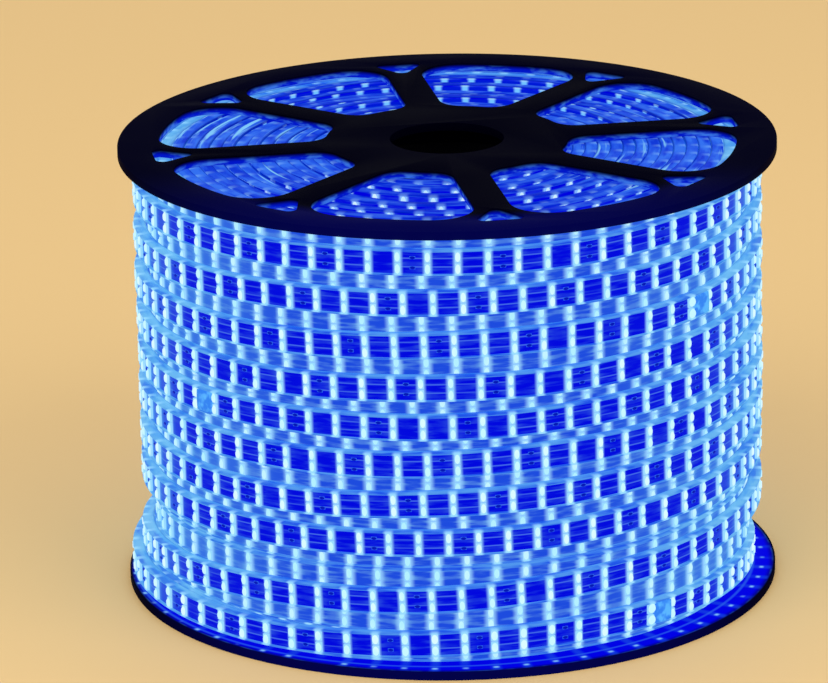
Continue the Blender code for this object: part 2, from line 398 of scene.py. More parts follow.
def window_spill(finish, place, radius, height, tilt):
    """Share and colour of the windows' and holes' walls, with blotches of the turns' light."""
    calc, fade = finish.calc, finish.fade
    centre = REEL_HEIGHT / 2
    near_face = fade(finish.apart(height, centre), centre - 0.0038, centre - 0.0006)
    share = finish.times(
        fade(calc("ABSOLUTE", tilt), 0.3, 0.85), near_face,
        calc("LESS_THAN", radius, FLANGE_RADIUS - 0.010), calc("GREATER_THAN", radius, 0.062))
    drawn = node(finish.tree, "ShaderNodeVectorMath", {0: place, 1: (1.0, 1.0, 3.5)}, operation="MULTIPLY")
    ripple = finish.noise(drawn, 95.0, 3.0)
    return share, finish.mix(fade(ripple, 0.68, 0.44), (0.0, 0.008, 0.58), (0.04, 0.17, 0.76))


def strip_face(name, rope, ground, haze, haze_share, halo_reach, side, lines=False, painted_side_shade=False):
    """The lit face between the chips: deep blue, a halo at each pair, two faint conductors.

    'side' gives where round the reel the painted side light starts, and its share there. The last flag paints
    the reel's sides darker, as painted shade.
    """
    finish = Finish(name, (0.0, 0.001, 0.04), 0.25, 0.015)
    finish.wet_gloss()
    calc, times, fade, mix = finish.calc, finish.times, finish.fade, finish.mix
    distance, along, across = finish.stations(rope.pitch)
    edge = rope.chip_width * 500.0
    veil = fade(finish.streaks(along, across, 0.9, 20.0), 0.66, 0.44)
    near = calc("MULTIPLY_ADD", fade(distance, 2.0, 7.0), 0.6, 0.4)
    colour = mix(times(veil, near, haze_share), ground, haze)
    if lines:
        line = fade(finish.apart(finish.apart(across, 0.5), 0.048), 0.004, 0.010)
        cell = node(finish.tree, "ShaderNodeTexWhiteNoise", {"W": calc("FLOOR", along)},
                    noise_dimensions="1D")
        shown = fade(cell.outputs["Value"], 0.45, 0.15)
        colour = mix(times(line, shown, 0.85), colour, (0.06, 0.16, 0.76))
    # Painted side light: the cells at the reel's left and right are paler
    painted_side_light = calc("MULTIPLY_ADD", fade(distance, 1.5, 7.0), side[1] * 0.6, side[1] * 0.4)
    colour = mix(times(finish.painted_side_mask(1.0, side[0]), painted_side_light), colour, (0.10, 0.38, 0.78))
    colour = mix(fade(distance, edge - 0.5, edge + halo_reach), colour, rope.halo)
    # Painted shade: the faces darker at the reel's left and right
    if painted_side_shade:
        colour = mix(finish.painted_side_mask(0.92, 0.72), colour, (0.0, 0.010, 0.42))
    return finish.lit(colour)


def strip_wall(name, rope, front, side, patch_share, painted_crevice_shade, sheen=0.6, specular=0.04, painted_glint=0.0):
    """The clear plastic walls, glowing, with slow streaks and a paler patch at each pair of chips, painted
    side light, painted highlights and painted shade along their edges.
    """
    finish = Finish(name, (0.0, 0.01, 0.06), 0.30, specular)
    finish.wet_gloss(sheen)
    times, fade, mix = finish.times, finish.fade, finish.mix
    distance, along, across = finish.stations(rope.pitch)
    streak = finish.streaks(along, across)
    pale_share, dark_share = fade(streak, 0.62, 0.46), fade(streak, 0.36, 0.48)
    tones = [mix(dark_share, mix(pale_share, base, pale), dark) for base, pale, dark in (front, side)]
    # Painted side light: the walls take their paler side tones at the reel's left and right
    colour = mix(finish.painted_side_mask(), *tones)
    folded = finish.apart(across, 0.5)
    patch = times(fade(distance, 0.9, 3.6), fade(folded, 0.22, 0.36), patch_share)
    colour = mix(patch, colour, (0.34, 0.72, 0.94))
    # Painted highlights: pale streaks along the turns at the reel's sides
    if painted_glint:
        slow = fade(finish.streaks(along, across, 0.20, 11.0), 0.67, 0.58)
        colour = mix(times(slow, finish.painted_side_mask(0.9, 0.6), painted_glint), colour, (0.24, 0.62, 0.88))
    # Painted shade: darker crevices along the edges of the wall
    return finish.lit(mix(times(fade(folded, 0.375, 0.35), painted_crevice_shade), colour, (0.0, 0.004, 0.30)))


def strip_back(name, rope):
    """The rope's inner side, dim deep blue with soft patches of light."""
    finish = Finish(name, (0.0, 0.005, 0.06), 0.35, 0.015)
    finish.wet_gloss()
    near = finish.fade(finish.stations(rope.pitch)[0], 0.8, 3.0)
    return finish.lit(finish.mix(near, (0.0, 0.006, 0.62), (0.16, 0.50, 0.97)))


def chip_light(name, colour, pale, painted_side_tone=None):
    """A chip's own light, paler in slow blotches; the last argument is a painted tone for the chip at the
    reel's left and right.
    """
    finish = Finish(name, CHIP_BASE, 0.35, 0.03)
    blotch = finish.noise(finish.place(), 55.0, 1.0)
    colour = finish.mix(finish.times(finish.fade(blotch, 0.62, 0.46), 0.8), colour, pale)
    # Painted side tone at the reel's left and right
    if painted_side_tone:
        colour = finish.mix(finish.painted_side_mask(0.92, 0.72), colour, painted_side_tone)
    return finish.lit(colour)


def joint_plastic():
    """The joint plug: a painted glow of the rope's light, pale milky blue with soft blotches."""
    finish = Finish("joint_plug", (0.0, 0.03, 0.10), 0.25, 0.015)
    finish.wet_gloss()
    blotch = finish.noise(finish.place(), 160.0, 2.0)
    return finish.lit(finish.mix(finish.fade(blotch, 0.62, 0.42), (0.035, 0.20, 0.80), (0.10, 0.42, 0.90)))


def add_object(name, data):
    made = bpy.data.objects.new(name, data)
    bpy.context.scene.collection.objects.link(made)
    return made


def settle(obj):
    """Turns an object with live modifiers into a plain mesh at the origin."""
    bpy.context.view_layer.update()
    evaluated = obj.evaluated_get(bpy.context.evaluated_depsgraph_get())
    mesh = bpy.data.meshes.new_from_object(evaluated)
    mesh.transform(obj.matrix_world)
    name, old = obj.name, obj.data
    bpy.data.objects.remove(obj, do_unlink=True)
    mesh.name = name
    if old.users == 0 and isinstance(old, bpy.types.Mesh):
        bpy.data.meshes.remove(old)
    return add_object(name, mesh)


def declare(piece, slot, *nodes):
    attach(piece, "root")
    if nodes:
        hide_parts(*nodes)


def arc(centre, radius, start, end, step):
    """Points on a circle from start to end, both included."""
    pieces = max(1, math.ceil(abs(end - start) / step - 1e-6))
    angles = [start + (end - start) * i / pieces for i in range(pieces + 1)]
    return [(centre[0] + radius * math.cos(a), centre[1] + radius * math.sin(a)) for a in angles]


def turned(points, angle):
    c, s = math.cos(angle), math.sin(angle)
    return [(c * x - s * y, s * x + c * y) for x, y in points]


def mirrored(points, angle):
    """Points mirrored across the line through the centre at this angle."""
    c, s = math.cos(2 * angle), math.sin(2 * angle)
    return [(c * x + s * y, s * x - c * y) for x, y in points]


def window_outline(sizes):
    """The window on the left of a spoke that lies along +X, with rounded corners."""
    middle = math.pi / sizes.spokes
    rim = FLANGE_RADIUS - sizes.rim_width
    corners = []
    for fillet, reach in ((WINDOW_INNER_FILLET, sizes.hub_radius + WINDOW_INNER_FILLET),
                          (WINDOW_OUTER_FILLET, rim - WINDOW_OUTER_FILLET)):
        offset = sizes.spoke_width / 2 + fillet
        along = math.sqrt(reach ** 2 - offset ** 2)
        corners.append(((along, offset), math.atan2(offset, along)))
    (inner, inner_angle), (outer, outer_angle) = corners
    half = arc((0, 0), sizes.hub_radius, middle, inner_angle, ARC_STEP)[:-1]
    half += arc(inner, WINDOW_INNER_FILLET, inner_angle + math.pi, 1.5 * math.pi, FILLET_STEP)
    half += arc(outer, WINDOW_OUTER_FILLET, -math.pi / 2, outer_angle, FILLET_STEP)
    half += arc((0, 0), rim, outer_angle, middle, ARC_STEP)[1:]
    return half + mirrored(half, middle)[-2:0:-1]


def rim_hole_outline():
    """The rounded three-cornered hole at the outer end of a spoke that lies along +X."""
    outer = FLANGE_RADIUS - RIM_HOLE_INSET
    apex = outer - RIM_HOLE_DEPTH
    side = math.atan2(RIM_HOLE_WIDTH / 2, RIM_HOLE_DEPTH)
    apex_centre = (apex + RIM_HOLE_FILLET / math.sin(side), 0.0)
    corner_x = outer - RIM_HOLE_FILLET
    corner_y = (corner_x - apex) * math.tan(side) - RIM_HOLE_FILLET / math.cos(side)
    half = arc(apex_centre, RIM_HOLE_FILLET, math.pi, math.pi / 2 + side, FILLET_STEP)
    half += arc((corner_x, corner_y), RIM_HOLE_FILLET, math.pi / 2 + side, 0.0, FILLET_STEP)
    return half + [(x, -y) for x, y in half[:0:-1]]


def flange_outlines(sizes):
    """The rim, the spindle bore, and a window and a rim hole for each spoke."""
    outlines = [arc((0, 0), FLANGE_RADIUS, 0.0, math.tau, RIM_STEP)[:-1],
                arc((0, 0), sizes.bore_radius, 0.0, math.tau, BORE_STEP)[:-1]]
    for number in range(sizes.spokes):
        angle = sizes.first_spoke + number * math.tau / sizes.spokes
        outlines += [turned(window_outline(sizes), angle), turned(rim_hole_outline(), angle)]
    return outlines


def make_flange(name, sizes, bottom, inward, material):
    """The spoked plate with rounded edges and the collar on its inner side."""
    curve = bpy.data.curves.new(name, "CURVE")
    curve.dimensions = "2D"
    curve.fill_mode = "BOTH"
    curve.extrude = sizes.flange_thickness / 2
    for outline in flange_outlines(sizes):
        spline = curve.splines.new("POLY")
        spline.points.add(len(outline) - 1)
        for point, (x, y) in zip(spline.points, outline):
            point.co = (x, y, 0.0, 1.0)
        spline.use_cyclic_u = True
    guide = add_object(name + "_outline", curve)
    middle = bottom + sizes.flange_thickness / 2
    guide.location.z = middle
    plate = settle(guide)
    plate.name = name
    built = bmesh.new()
    built.from_mesh(plate.data)
    bmesh.ops.remove_doubles(built, verts=built.verts, dist=WELD_DISTANCE)
    bmesh.ops.dissolve_limit(built, angle_limit=FLAT_ANGLE, verts=built.verts, edges=built.edges)
    bmesh.ops.recalc_face_normals(built, faces=built.faces)
    built.to_mesh(plate.data)
    built.free()
    bevel = plate.modifiers.new("edges", "BEVEL")
    bevel.width = sizes.edge_round
    bevel.segments = 3
    bevel.limit_method = "ANGLE"
    bevel.angle_limit = EDGE_ANGLE
    bevel.use_clamp_overlap = True
    plate = settle(plate)
    add_collar(plate, middle, inward * (sizes.flange_thickness / 2 + COLLAR_HEIGHT))
    plate.data.materials.clear()
    plate.data.materials.append(material)
    plate.data.shade_smooth()
    plate.data.set_sharp_from_angle(angle=PLATE_SHARP)
    return plate


def add_collar(plate, start, reach):
    """The collar that plugs into the core tube, with softened corners at its free end."""
    outer = CORE_RADIUS - CORE_WALL - FIT_GAP
    inner = outer - COLLAR_WALL
    end = start + reach
    soft = end - math.copysign(COLLAR_EDGE, reach)
    profile = [(inner, start), (inner, soft), (inner + COLLAR_EDGE, end),
               (outer - COLLAR_EDGE, end), (outer, soft), (outer, start)]
    built = bmesh.new()
    built.from_mesh(plate.data)
    rows = []
    for i in range(COLLAR_STEPS):
        a = math.tau * i / COLLAR_STEPS
        rows.append([built.verts.new((r * math.cos(a), r * math.sin(a), z)) for r, z in profile])
    faces = []
    for here, following in zip(rows, rows[1:] + rows[:1]):
        for j in range(len(profile)):
            k = (j + 1) % len(profile)
            faces.append(built.faces.new((here[j], following[j], following[k], here[k])))
    bmesh.ops.recalc_face_normals(built, faces=faces)
    built.to_mesh(plate.data)
    built.free()


def face_height(rope):
    """The lit face's height over the rope's inner side."""
    return rope.thickness - rope.recess


def level_range(rope):
    """The lowest and highest level of a turn's middle between the flanges."""
    half = rope.width / 2
    plate = bpy.context.scene.reel_sizes.flange_thickness
    return WINDING_LOW.z + half, REEL_HEIGHT - plate - half - TURN_GAP


def deep_radius(rope):
    """The inner radius of the close layer that backs the two outer ones."""
    return WINDING_RADIUS - 3 * rope.thickness - TURN_GAP


def stations_per_turn(radius, rope):
    """Pairs of chips in a turn whose inner side has this radius."""
    return math.tau * (radius + face_height(rope)) / rope.pitch


def eased(share):
    return share * share * (3.0 - 2.0 * share)


def lean(angles, heights):
    """How far the lowest turn, pushed off centre, stands out at each place."""
    side = np.cos(angles)
    reach = np.where(side < 0.0, -LEAN_LEFT * side, -LEAN_RIGHT * side)
    return reach * eased(np.clip((LEAN_HEIGHT - heights) / LEAN_FADE, 0.0, 1.0))


def waves(table, angle, shift):
    return sum(size * np.sin(rate * angle + share * shift) for size, rate, share in table)


class Path:
    """A line of the rope's middle of its inner side, sampled evenly in turns."""

    def __init__(self, turns, radius, heights, stations, leaning=1.0):
        self.turns = turns
        self.radius = radius
        self.heights = heights
        self.stations = stations
        self.leaning = leaning

    def places(self, turns):
        """Places at these turns, counted from the middle of the front, and their angles."""
        angles = turns * math.tau - math.pi / 2
        heights = np.interp(turns, self.turns, self.heights)
        radius = np.interp(turns, self.turns, self.radius) + self.leaning * lean(angles, heights)
        return np.stack([radius * np.cos(angles), radius * np.sin(angles), heights], -1), angles


def running_stations(phases, per_turn):
    """The rope's station count at each crossing of the front, closest to an even count a turn."""
    counts = [phases[0]]
    for before, after in zip(phases, phases[1:]):
        counts.append(counts[-1] + round(per_turn - (after - before)) + after - before)
    return np.array(counts)


def outer_knots(low, high):
    """Turns and heights that the outermost layer passes, at the front, to its sides and at the back."""
    knots = list(OUTER_SAGS)
    for row, heights in enumerate(zip(OUTER_LEFT, OUTER_HEIGHTS, OUTER_RIGHT)):
        knots += zip((row - SIDE_TURN, row, row + SIDE_TURN), heights)
    last = len(OUTER_HEIGHTS) - 1
    return sorted(knots + [(-SIDE_TURN - 0.75, low), (last + SIDE_TURN + 0.40, high)])


def under_knots(high):
    """Turns and heights that the layer under it passes, a little lower at its sides."""
    knots = list(UNDER_SAGS)
    for row, level in enumerate(UNDER_HEIGHTS, -1):
        knots.append((row, level))
        if row > 0:
            knots.append((row - 0.25, level * 0.75 + UNDER_HEIGHTS[row] * 0.25 - 0.0015))
    return sorted(knots + [(len(UNDER_HEIGHTS) - 0.6, high)])


def helix(rope, knots, phases, first_row, ends, radius, samples, shift):
    """A helix through the given heights, with the small unevenness of hand winding."""
    turns = np.linspace(*ends, int(round((ends[1] - ends[0]) * samples)) + 1)
    angle = turns * math.tau
    window = samples // 8
    weights = np.hanning(2 * window + 1)
    level = np.pad(np.interp(turns, *zip(*knots)), window, mode="edge")
    level = np.convolve(level, weights / weights.sum(), mode="valid")
    level = np.clip(level + waves(LEVEL_WAVES, angle, shift), *level_range(rope))
    per_turn = stations_per_turn(radius, rope)
    rows = np.arange(len(phases)) + first_row
    stations = np.interp(turns, rows, running_stations(phases, per_turn))
    stations += per_turn * (np.maximum(turns - rows[-1], 0.0) - np.maximum(rows[0] - turns, 0.0))
    return Path(turns, radius + waves(RADIUS_WAVES, angle, shift), level, stations)


def outer_path(rope):
    path = helix(rope, outer_knots(*level_range(rope)), OUTER_PHASES, 0, OUTER_ENDS,
                 WINDING_RADIUS - rope.thickness, OUTER_SAMPLES, 0.6)
    # The lower end dives behind the next turn
    dive = np.clip((DIVE_START - path.turns) / DIVE_LENGTH, 0.0, 1.0)
    path.radius = path.radius - (rope.thickness + TURN_GAP) * eased(dive)
    return path


def under_path(rope):
    return helix(rope, under_knots(level_range(rope)[1]), UNDER_PHASES, -1, UNDER_ENDS,
                 WINDING_RADIUS - 2 * rope.thickness, UNDER_SAMPLES, 2.1)


def deep_path(rope):
    low, high = level_range(rope)
    count = math.ceil((high - low) / DEEP_PITCH)
    turns = np.linspace(-1.05, count + 1.05, DEEP_SAMPLES * (count + 2))
    level = np.clip(low + turns * (high - low) / count, low, high)
    level = np.clip(level + 0.0003 * np.sin(turns * 17.0), low, high)
    radius = deep_radius(rope)
    stations = DEEP_STATIONS + turns * stations_per_turn(radius, rope)
    return Path(turns, np.full_like(turns, radius), level, stations)


def end_paths(rope):
    """The first and the last turn of each inner layer, as rings under the two flanges."""
    low, high = level_range(rope)
    first_radius = CORE_RADIUS + FIT_GAP
    step = (deep_radius(rope) - first_radius) / len(END_DROPS)
    turns = np.linspace(0.0, END_TURN, END_SAMPLES + 1) + END_START
    angle = turns * math.tau
    sideways = 0.15 + 0.85 * np.cos(angle) ** 2
    tops, bottoms = [], []
    for layer, drop in enumerate(END_DROPS):
        radius = np.full_like(turns, first_radius + layer * step)
        per_turn = round(stations_per_turn(radius[0], rope))
        stations = turns * per_turn + (LAYER_PHASE * layer) % 1.0 + LAYER_STATIONS * layer
        wave = waves(END_WAVES, angle, layer)
        level = np.minimum(high, high + (wave - drop) * sideways)
        tops.append(Path(turns, radius, level, stations))
        level = np.maximum(low, low + END_DROPS[-1 - layer] - wave)
        bottoms.append(Path(turns, radius, level, stations + BOTTOM_STATIONS, 0.0))
    return tops, bottoms


def path_mesh(name, paths):
    """The paths as lines of edges that carry the station count and the outward direction."""
    points, edges, stations, outward = [], [], [], []
    for path in paths:
        places, angles = path.places(path.turns)
        edges += [(i, i + 1) for i in range(len(points), len(points) + len(places) - 1)]
        points += places.tolist()
        stations += path.stations.tolist()
        outward += [part for a in angles for part in (math.cos(a), math.sin(a), 0.0)]
    mesh = bpy.data.meshes.new(name)
    mesh.from_pydata(points, edges, [])
    mesh.attributes.new("station", "FLOAT", "POINT").data.foreach_set("value", stations)
    mesh.attributes.new("outward", "FLOAT_VECTOR", "POINT").data.foreach_set("vector", outward)
    return mesh


def section_mesh(rope):
    """The rope's section: back, side wall, lip and lit face, on both sides of its middle.

    Each point has its height over the back, its place across, a count round the section (1 at the
    back's edge, 2 and 3 at the lip, 4 at the face's middle) and its region.
    """
    half = rope.width / 2
    top = rope.thickness
    face = half - rope.lip
    side = [(0.0, half - 0.0012, 1.0, BACK),
            (0.0004, half - 0.0003, 1.05, WALL),
            (0.0012, half, 1.15, WALL),
            (top - 0.0007, half, 1.9, WALL),
            (top - 0.0002, half - 0.0002, 2.0, WALL),
            (top, half - 0.0006, 2.3, WALL),
            (top - 0.0002, face, 2.7, WALL),
            (face_height(rope), face, 3.0, FACE)]
    points = side + [(n, -w, 8.0 - count, region) for n, w, count, region in reversed(side)]
    mesh = bpy.data.meshes.new("rope_section")
    mesh.from_pydata([(n, w, 0.0) for n, w, count, region in points],
                     [(i, (i + 1) % len(points)) for i in range(len(points))], [])
    mesh.attributes.new("across", "FLOAT", "POINT").data.foreach_set("value", [p[2] / 8.0 for p in points])
    mesh.attributes.new("region", "FLOAT", "POINT").data.foreach_set("value", [p[3] for p in points])
    return mesh


def new_tree(name, inputs):
    """A geometry tree with a geometry input and output and these named inputs."""
    tree = bpy.data.node_groups.new(name, "GeometryNodeTree")
    tree.interface.new_socket("Geometry", in_out="INPUT", socket_type="NodeSocketGeometry")
    identifiers = {}
    for label, kind in inputs:
        made = tree.interface.new_socket(label, in_out="INPUT", socket_type="NodeSocket" + kind)
        identifiers[label] = made.identifier
    tree.interface.new_socket("Geometry", in_out="OUTPUT", socket_type="NodeSocketGeometry")
    return tree, node(tree, "NodeGroupInput").outputs, identifiers


def close_tree(tree, geometry, paints):
    """Ends the tree: the instances made real, then a material on each selection."""
    real = node(tree, "GeometryNodeRealizeInstances", {"Geometry": geometry})
    for selection, material in paints:
        real = node(tree, "GeometryNodeSetMaterial", {
            "Geometry": real, "Selection": selection, "Material": material})
    node(tree, "NodeGroupOutput", {"Geometry": real})


def run_tree(name, mesh, tree, identifiers, values):
    """Runs the tree on a new object with these inputs, and leaves a plain mesh."""
    carrier = add_object(name, mesh)
    modifier = carrier.modifiers.new(tree.name, "NODES")
    modifier.node_group = tree
    for label, value in values.items():
        modifier[identifiers[label]] = value
    return settle(carrier)


def named(tree, name, kind="FLOAT"):
    return node(tree, "GeometryNodeInputNamedAttribute", {"Name": name}, data_type=kind)


def above(tree, value, limit):
    return node(tree, "FunctionNodeCompare", {0: value, 1: limit},
                data_type="FLOAT", operation="GREATER_THAN")


def vector_node(tree, x=0.0, y=0.0, z=0.0):
    return node(tree, "ShaderNodeCombineXYZ", {0: x, 1: y, 2: z})


def stand_on_points(tree, points, instance, scale=(1.0, 1.0, 1.0)):
    """The instance on each point, standing outward and lying along the rope."""
    turn = node(tree, "FunctionNodeAxesToRotation", {
        0: named(tree, "outward", "FLOAT_VECTOR"), 1: named(tree, "along", "FLOAT_VECTOR")},
        primary_axis="Z", secondary_axis="X")
    return node(tree, "GeometryNodeInstanceOnPoints", {
        "Points": points, "Instance": instance, "Rotation": turn, "Scale": scale})


def sweep_tree():
    """Carries the rope's section along its path and paints its three regions."""
    tree, given, identifiers = new_tree("rope_sweep", (
        ("Section", "Object"), ("Wall", "Material"), ("Face", "Material"), ("Back", "Material")))
    line = node(tree, "GeometryNodeMeshToCurve", {"Mesh": given["Geometry"]})
    aimed = node(tree, "GeometryNodeSetCurveNormal", {
        "Curve": line, "Normal": named(tree, "outward", "FLOAT_VECTOR")}, mode="FREE")
    section = node(tree, "GeometryNodeObjectInfo", {"Object": given["Section"]}).outputs["Geometry"]
    outline = node(tree, "GeometryNodeMeshToCurve", {"Mesh": section})
    swept = node(tree, "GeometryNodeCurveToMesh", {
        "Curve": aimed, "Profile Curve": outline, "Fill Caps": True})
    outward = node(tree, "GeometryNodeFlipFaces", {"Mesh": swept})
    plane = vector_node(tree, named(tree, "station"), named(tree, "across"))
    stored = node(tree, "GeometryNodeStoreNamedAttribute", {
        "Geometry": outward, "Name": "UVMap", "Value": plane}, data_type="FLOAT2", domain="CORNER")
    smooth = node(tree, "GeometryNodeSetShadeSmooth", {"Geometry": stored})
    region = named(tree, "region")
    close_tree(tree, smooth, ((True, given["Wall"]), (above(tree, region, FACE - 0.05), given["Face"]),
                              (above(tree, region, BACK - 0.05), given["Back"])))
    return tree, identifiers


def chip_tree():
    """Stands a pair of LED chips on each point: a frame and a raised lens for each."""
    tree, given, identifiers = new_tree("led_pairs", (
        ("Chip length", "Float"), ("Chip width", "Float"), ("Chip height", "Float"), ("Chip gap", "Float"),
        ("Frame", "Material"), ("Lens", "Material")))
    length, width, height = given["Chip length"], given["Chip width"], given["Chip height"]
    frame_height = calculate(tree, "MULTIPLY", height, FRAME_SHARE)
    lens_height = calculate(tree, "SUBTRACT", height, frame_height)
    body = node(tree, "GeometryNodeMeshCube", {"Size": vector_node(tree, width, length, frame_height)})
    lifted = node(tree, "GeometryNodeTransform", {
        "Geometry": body, "Translation": vector_node(tree, z=calculate(tree, "MULTIPLY", frame_height, 0.5))})
    lens = node(tree, "GeometryNodeMeshCone", {
        "Vertices": LENS_SIDES, "Radius Top": 0.34, "Radius Bottom": 0.48, "Depth": 1.0})
    domed = node(tree, "GeometryNodeTransform", {
        "Geometry": lens, "Translation": vector_node(tree, z=frame_height),
        "Scale": vector_node(tree, width, length, lens_height)})
    marked = node(tree, "GeometryNodeStoreNamedAttribute", {
        "Geometry": domed, "Name": "lens", "Value": 1.0}, data_type="FLOAT", domain="FACE")
    chip = node(tree, "GeometryNodeJoinGeometry")
    for half in (lifted, marked):
        tree.links.new(half.outputs[0], chip.inputs[0])
    reach = calculate(tree, "MULTIPLY", calculate(tree, "ADD", length, given["Chip gap"]), 0.5)
    pair = node(tree, "GeometryNodeJoinGeometry")
    for sign in (1.0, -1.0):
        moved = node(tree, "GeometryNodeTransform", {
            "Geometry": chip, "Translation": vector_node(tree, y=calculate(tree, "MULTIPLY", reach, sign))})
        tree.links.new(moved.outputs[0], pair.inputs[0])
    placed = stand_on_points(tree, given["Geometry"], pair, named(tree, "stretch", "FLOAT_VECTOR"))
    close_tree(tree, placed, ((True, given["Frame"]), (above(tree, named(tree, "lens"), 0.5), given["Lens"])))
    return tree, identifiers


def joint_tree():
    """Sets a moulded joint plug, a softened block, on each point."""
    tree, given, identifiers = new_tree("strip_joints", (
        ("Length", "Float"), ("Width", "Float"), ("Height", "Float"), ("Plug", "Material")))
    body = node(tree, "GeometryNodeMeshCube", {"Vertices X": 6, "Vertices Y": 6, "Vertices Z": 3})
    spot = node(tree, "GeometryNodeInputPosition")
    away = node(tree, "ShaderNodeVectorMath", {0: spot}, operation="NORMALIZE")
    ball = node(tree, "ShaderNodeVectorMath", {0: away, "Scale": 0.5}, operation="SCALE")
    soft = node(tree, "ShaderNodeMix", {0: PLUG_ROUND, 4: spot, 5: ball}, data_type="VECTOR").outputs[1]
    rounded = node(tree, "GeometryNodeSetPosition", {"Geometry": body, "Position": soft})
    sized = node(tree, "GeometryNodeTransform", {
        "Geometry": rounded, "Scale": vector_node(tree, given["Length"], given["Width"], given["Height"])})
    placed = stand_on_points(tree, given["Geometry"], sized)
    smooth = node(tree, "GeometryNodeSetShadeSmooth", {"Geometry": placed})
    close_tree(tree, smooth, ((True, given["Plug"]),))
    return tree, identifiers


def sweep(name, paths, rope, wall, face, back, *replaced):
    """One plain mesh of the rope's section along these paths, and the nodes it stands for."""
    section = add_object("rope_section", section_mesh(rope))
    piece = run_tree(name, path_mesh(name, paths), *sweep_tree(), {
        "Section": section, "Wall": wall, "Face": face, "Back": back})
    bpy.data.objects.remove(section, do_unlink=True)
    piece.data.set_sharp_from_angle(angle=ROPE_SHARP)
    declare(piece, "rope", *replaced)


def path_points(path, numbers, lift, stretch=None):
    """Points at these stations of the path, with their outward and along directions and stretch."""
    turns = np.interp(numbers, path.stations, path.turns)
    places, angles = path.places(turns)
    ahead, _ = path.places(turns + STEP_AHEAD)
    out = np.stack([np.cos(angles), np.sin(angles), np.zeros_like(angles)], -1)
    forward = ahead - places
    forward -= (forward * out).sum(-1, keepdims=True) * out
    forward /= np.linalg.norm(forward, axis=-1, keepdims=True)
    return [places + out * lift, out, forward, np.ones_like(places) if stretch is None else stretch]


def point_mesh(name, groups):
    """A mesh of loose points from such groups."""
    mesh = bpy.data.meshes.new(name)
    mesh.from_pydata(np.concatenate([group[0] for group in groups]).tolist(), [], [])
    for number, label in enumerate(("outward", "along", "stretch"), 1):
        values = np.concatenate([group[number] for group in groups]).ravel()
        mesh.attributes.new(label, "FLOAT_VECTOR", "POINT").data.foreach_set("vector", values)
    return mesh


def place_chips(name, paths, rope, height, frame_material, lens_material, wide=()):
    """A pair of chips on the lit face at every station of the paths."""
    groups = []
    for path in paths:
        first = math.ceil(path.stations[0] + END_MARGIN)
        numbers = np.arange(first, math.floor(path.stations[-1] - END_MARGIN) + 1, dtype=float)
        stretch = np.ones((len(numbers), 3))
        if len(wide):
            stretch[np.interp(numbers, path.stations, path.turns) < LOW_CHIP_TURN, 0] = LOW_CHIP_WIDTH
        stretch[np.isin(numbers, wide), 0] = JOINT_CHIP_WIDTH
        groups.append(path_points(path, numbers, face_height(rope), stretch))
    chips = run_tree(name, point_mesh(name, groups), *chip_tree(), {
        "Chip length": rope.chip_length, "Chip width": rope.chip_width, "Chip height": height,
        "Chip gap": rope.chip_gap, "Frame": frame_material, "Lens": lens_material})
    declare(chips, "rope")


def joint_stations(path):
    return np.round(np.interp(JOINT_TURNS, path.turns, path.stations))


class ROPEREEL_OT_flanges(bpy.types.Operator):
    """Makes both moulded flanges"""
    bl_idname = "rope_reel.flanges"
    bl_label = "Flanges"

    def execute(self, context):
        sizes = context.scene.reel_sizes
        plastic = moulded_plastic("black_moulding", sizes.plastic, (0.0, 0.0, 0.78))
        upper_bottom = REEL_HEIGHT - sizes.flange_thickness
        for node_name, bottom, inward in (("upper_flange", upper_bottom, -1.0), ("lower_flange", 0.0, 1.0)):
            plate = make_flange(node_name + "_moulding", sizes, bottom, inward, plastic)
            declare(plate, "flange", node_name)
        return {"FINISHED"}


class ROPEREEL_OT_core(bpy.types.Operator):
    """Finishes the core tube that the rope is wound on"""
    bl_idname = "rope_reel.core"
    bl_label = "Core tube"

    def execute(self, context):
        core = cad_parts["core_tube"]
        core.data.materials.clear()
        core.data.materials.append(moulded_plastic("core_plastic", (0.005, 0.005, 0.008)))
        return {"FINISHED"}


class ROPEREEL_OT_outer_turns(bpy.types.Operator):
    """Winds the outermost layer of the rope and its chips"""
    bl_idname = "rope_reel.outer_turns"
    bl_label = "Outer turns"

    def execute(self, context):
        rope = context.scene.rope_sizes
        path = outer_path(rope)
        # Front and side tones of the walls: base, pale and dark; the paler side ones are painted side light
        front = ((0.045, 0.185, 0.76), rope.light, (0.012, 0.070, 0.72))
        side = ((0.085, 0.34, 0.76), (0.15, 0.46, 0.78), (0.035, 0.18, 0.72))
        wall = strip_wall("clear_wall", rope, front, side, 0.9, 0.6)
        face = strip_face("strip_face", rope, rope.deep, HAZE, 0.85, 1.9, (0.80, 0.75), lines=True)
        back = strip_back("strip_back", rope)
        sweep("outer_turns", [path], rope, wall, face, back, "rope_light_winding")
        chip_frame = chip_light("chip_frame", (0.29, 0.62, 0.95), (0.38, 0.67, 0.93))
        chip_lens = chip_light("chip_lens", rope.core, (0.68, 0.86, 0.98))
        place_chips("outer_chips", [path], rope, rope.chip_height, chip_frame, chip_lens,
                    joint_stations(path))
        return {"FINISHED"}


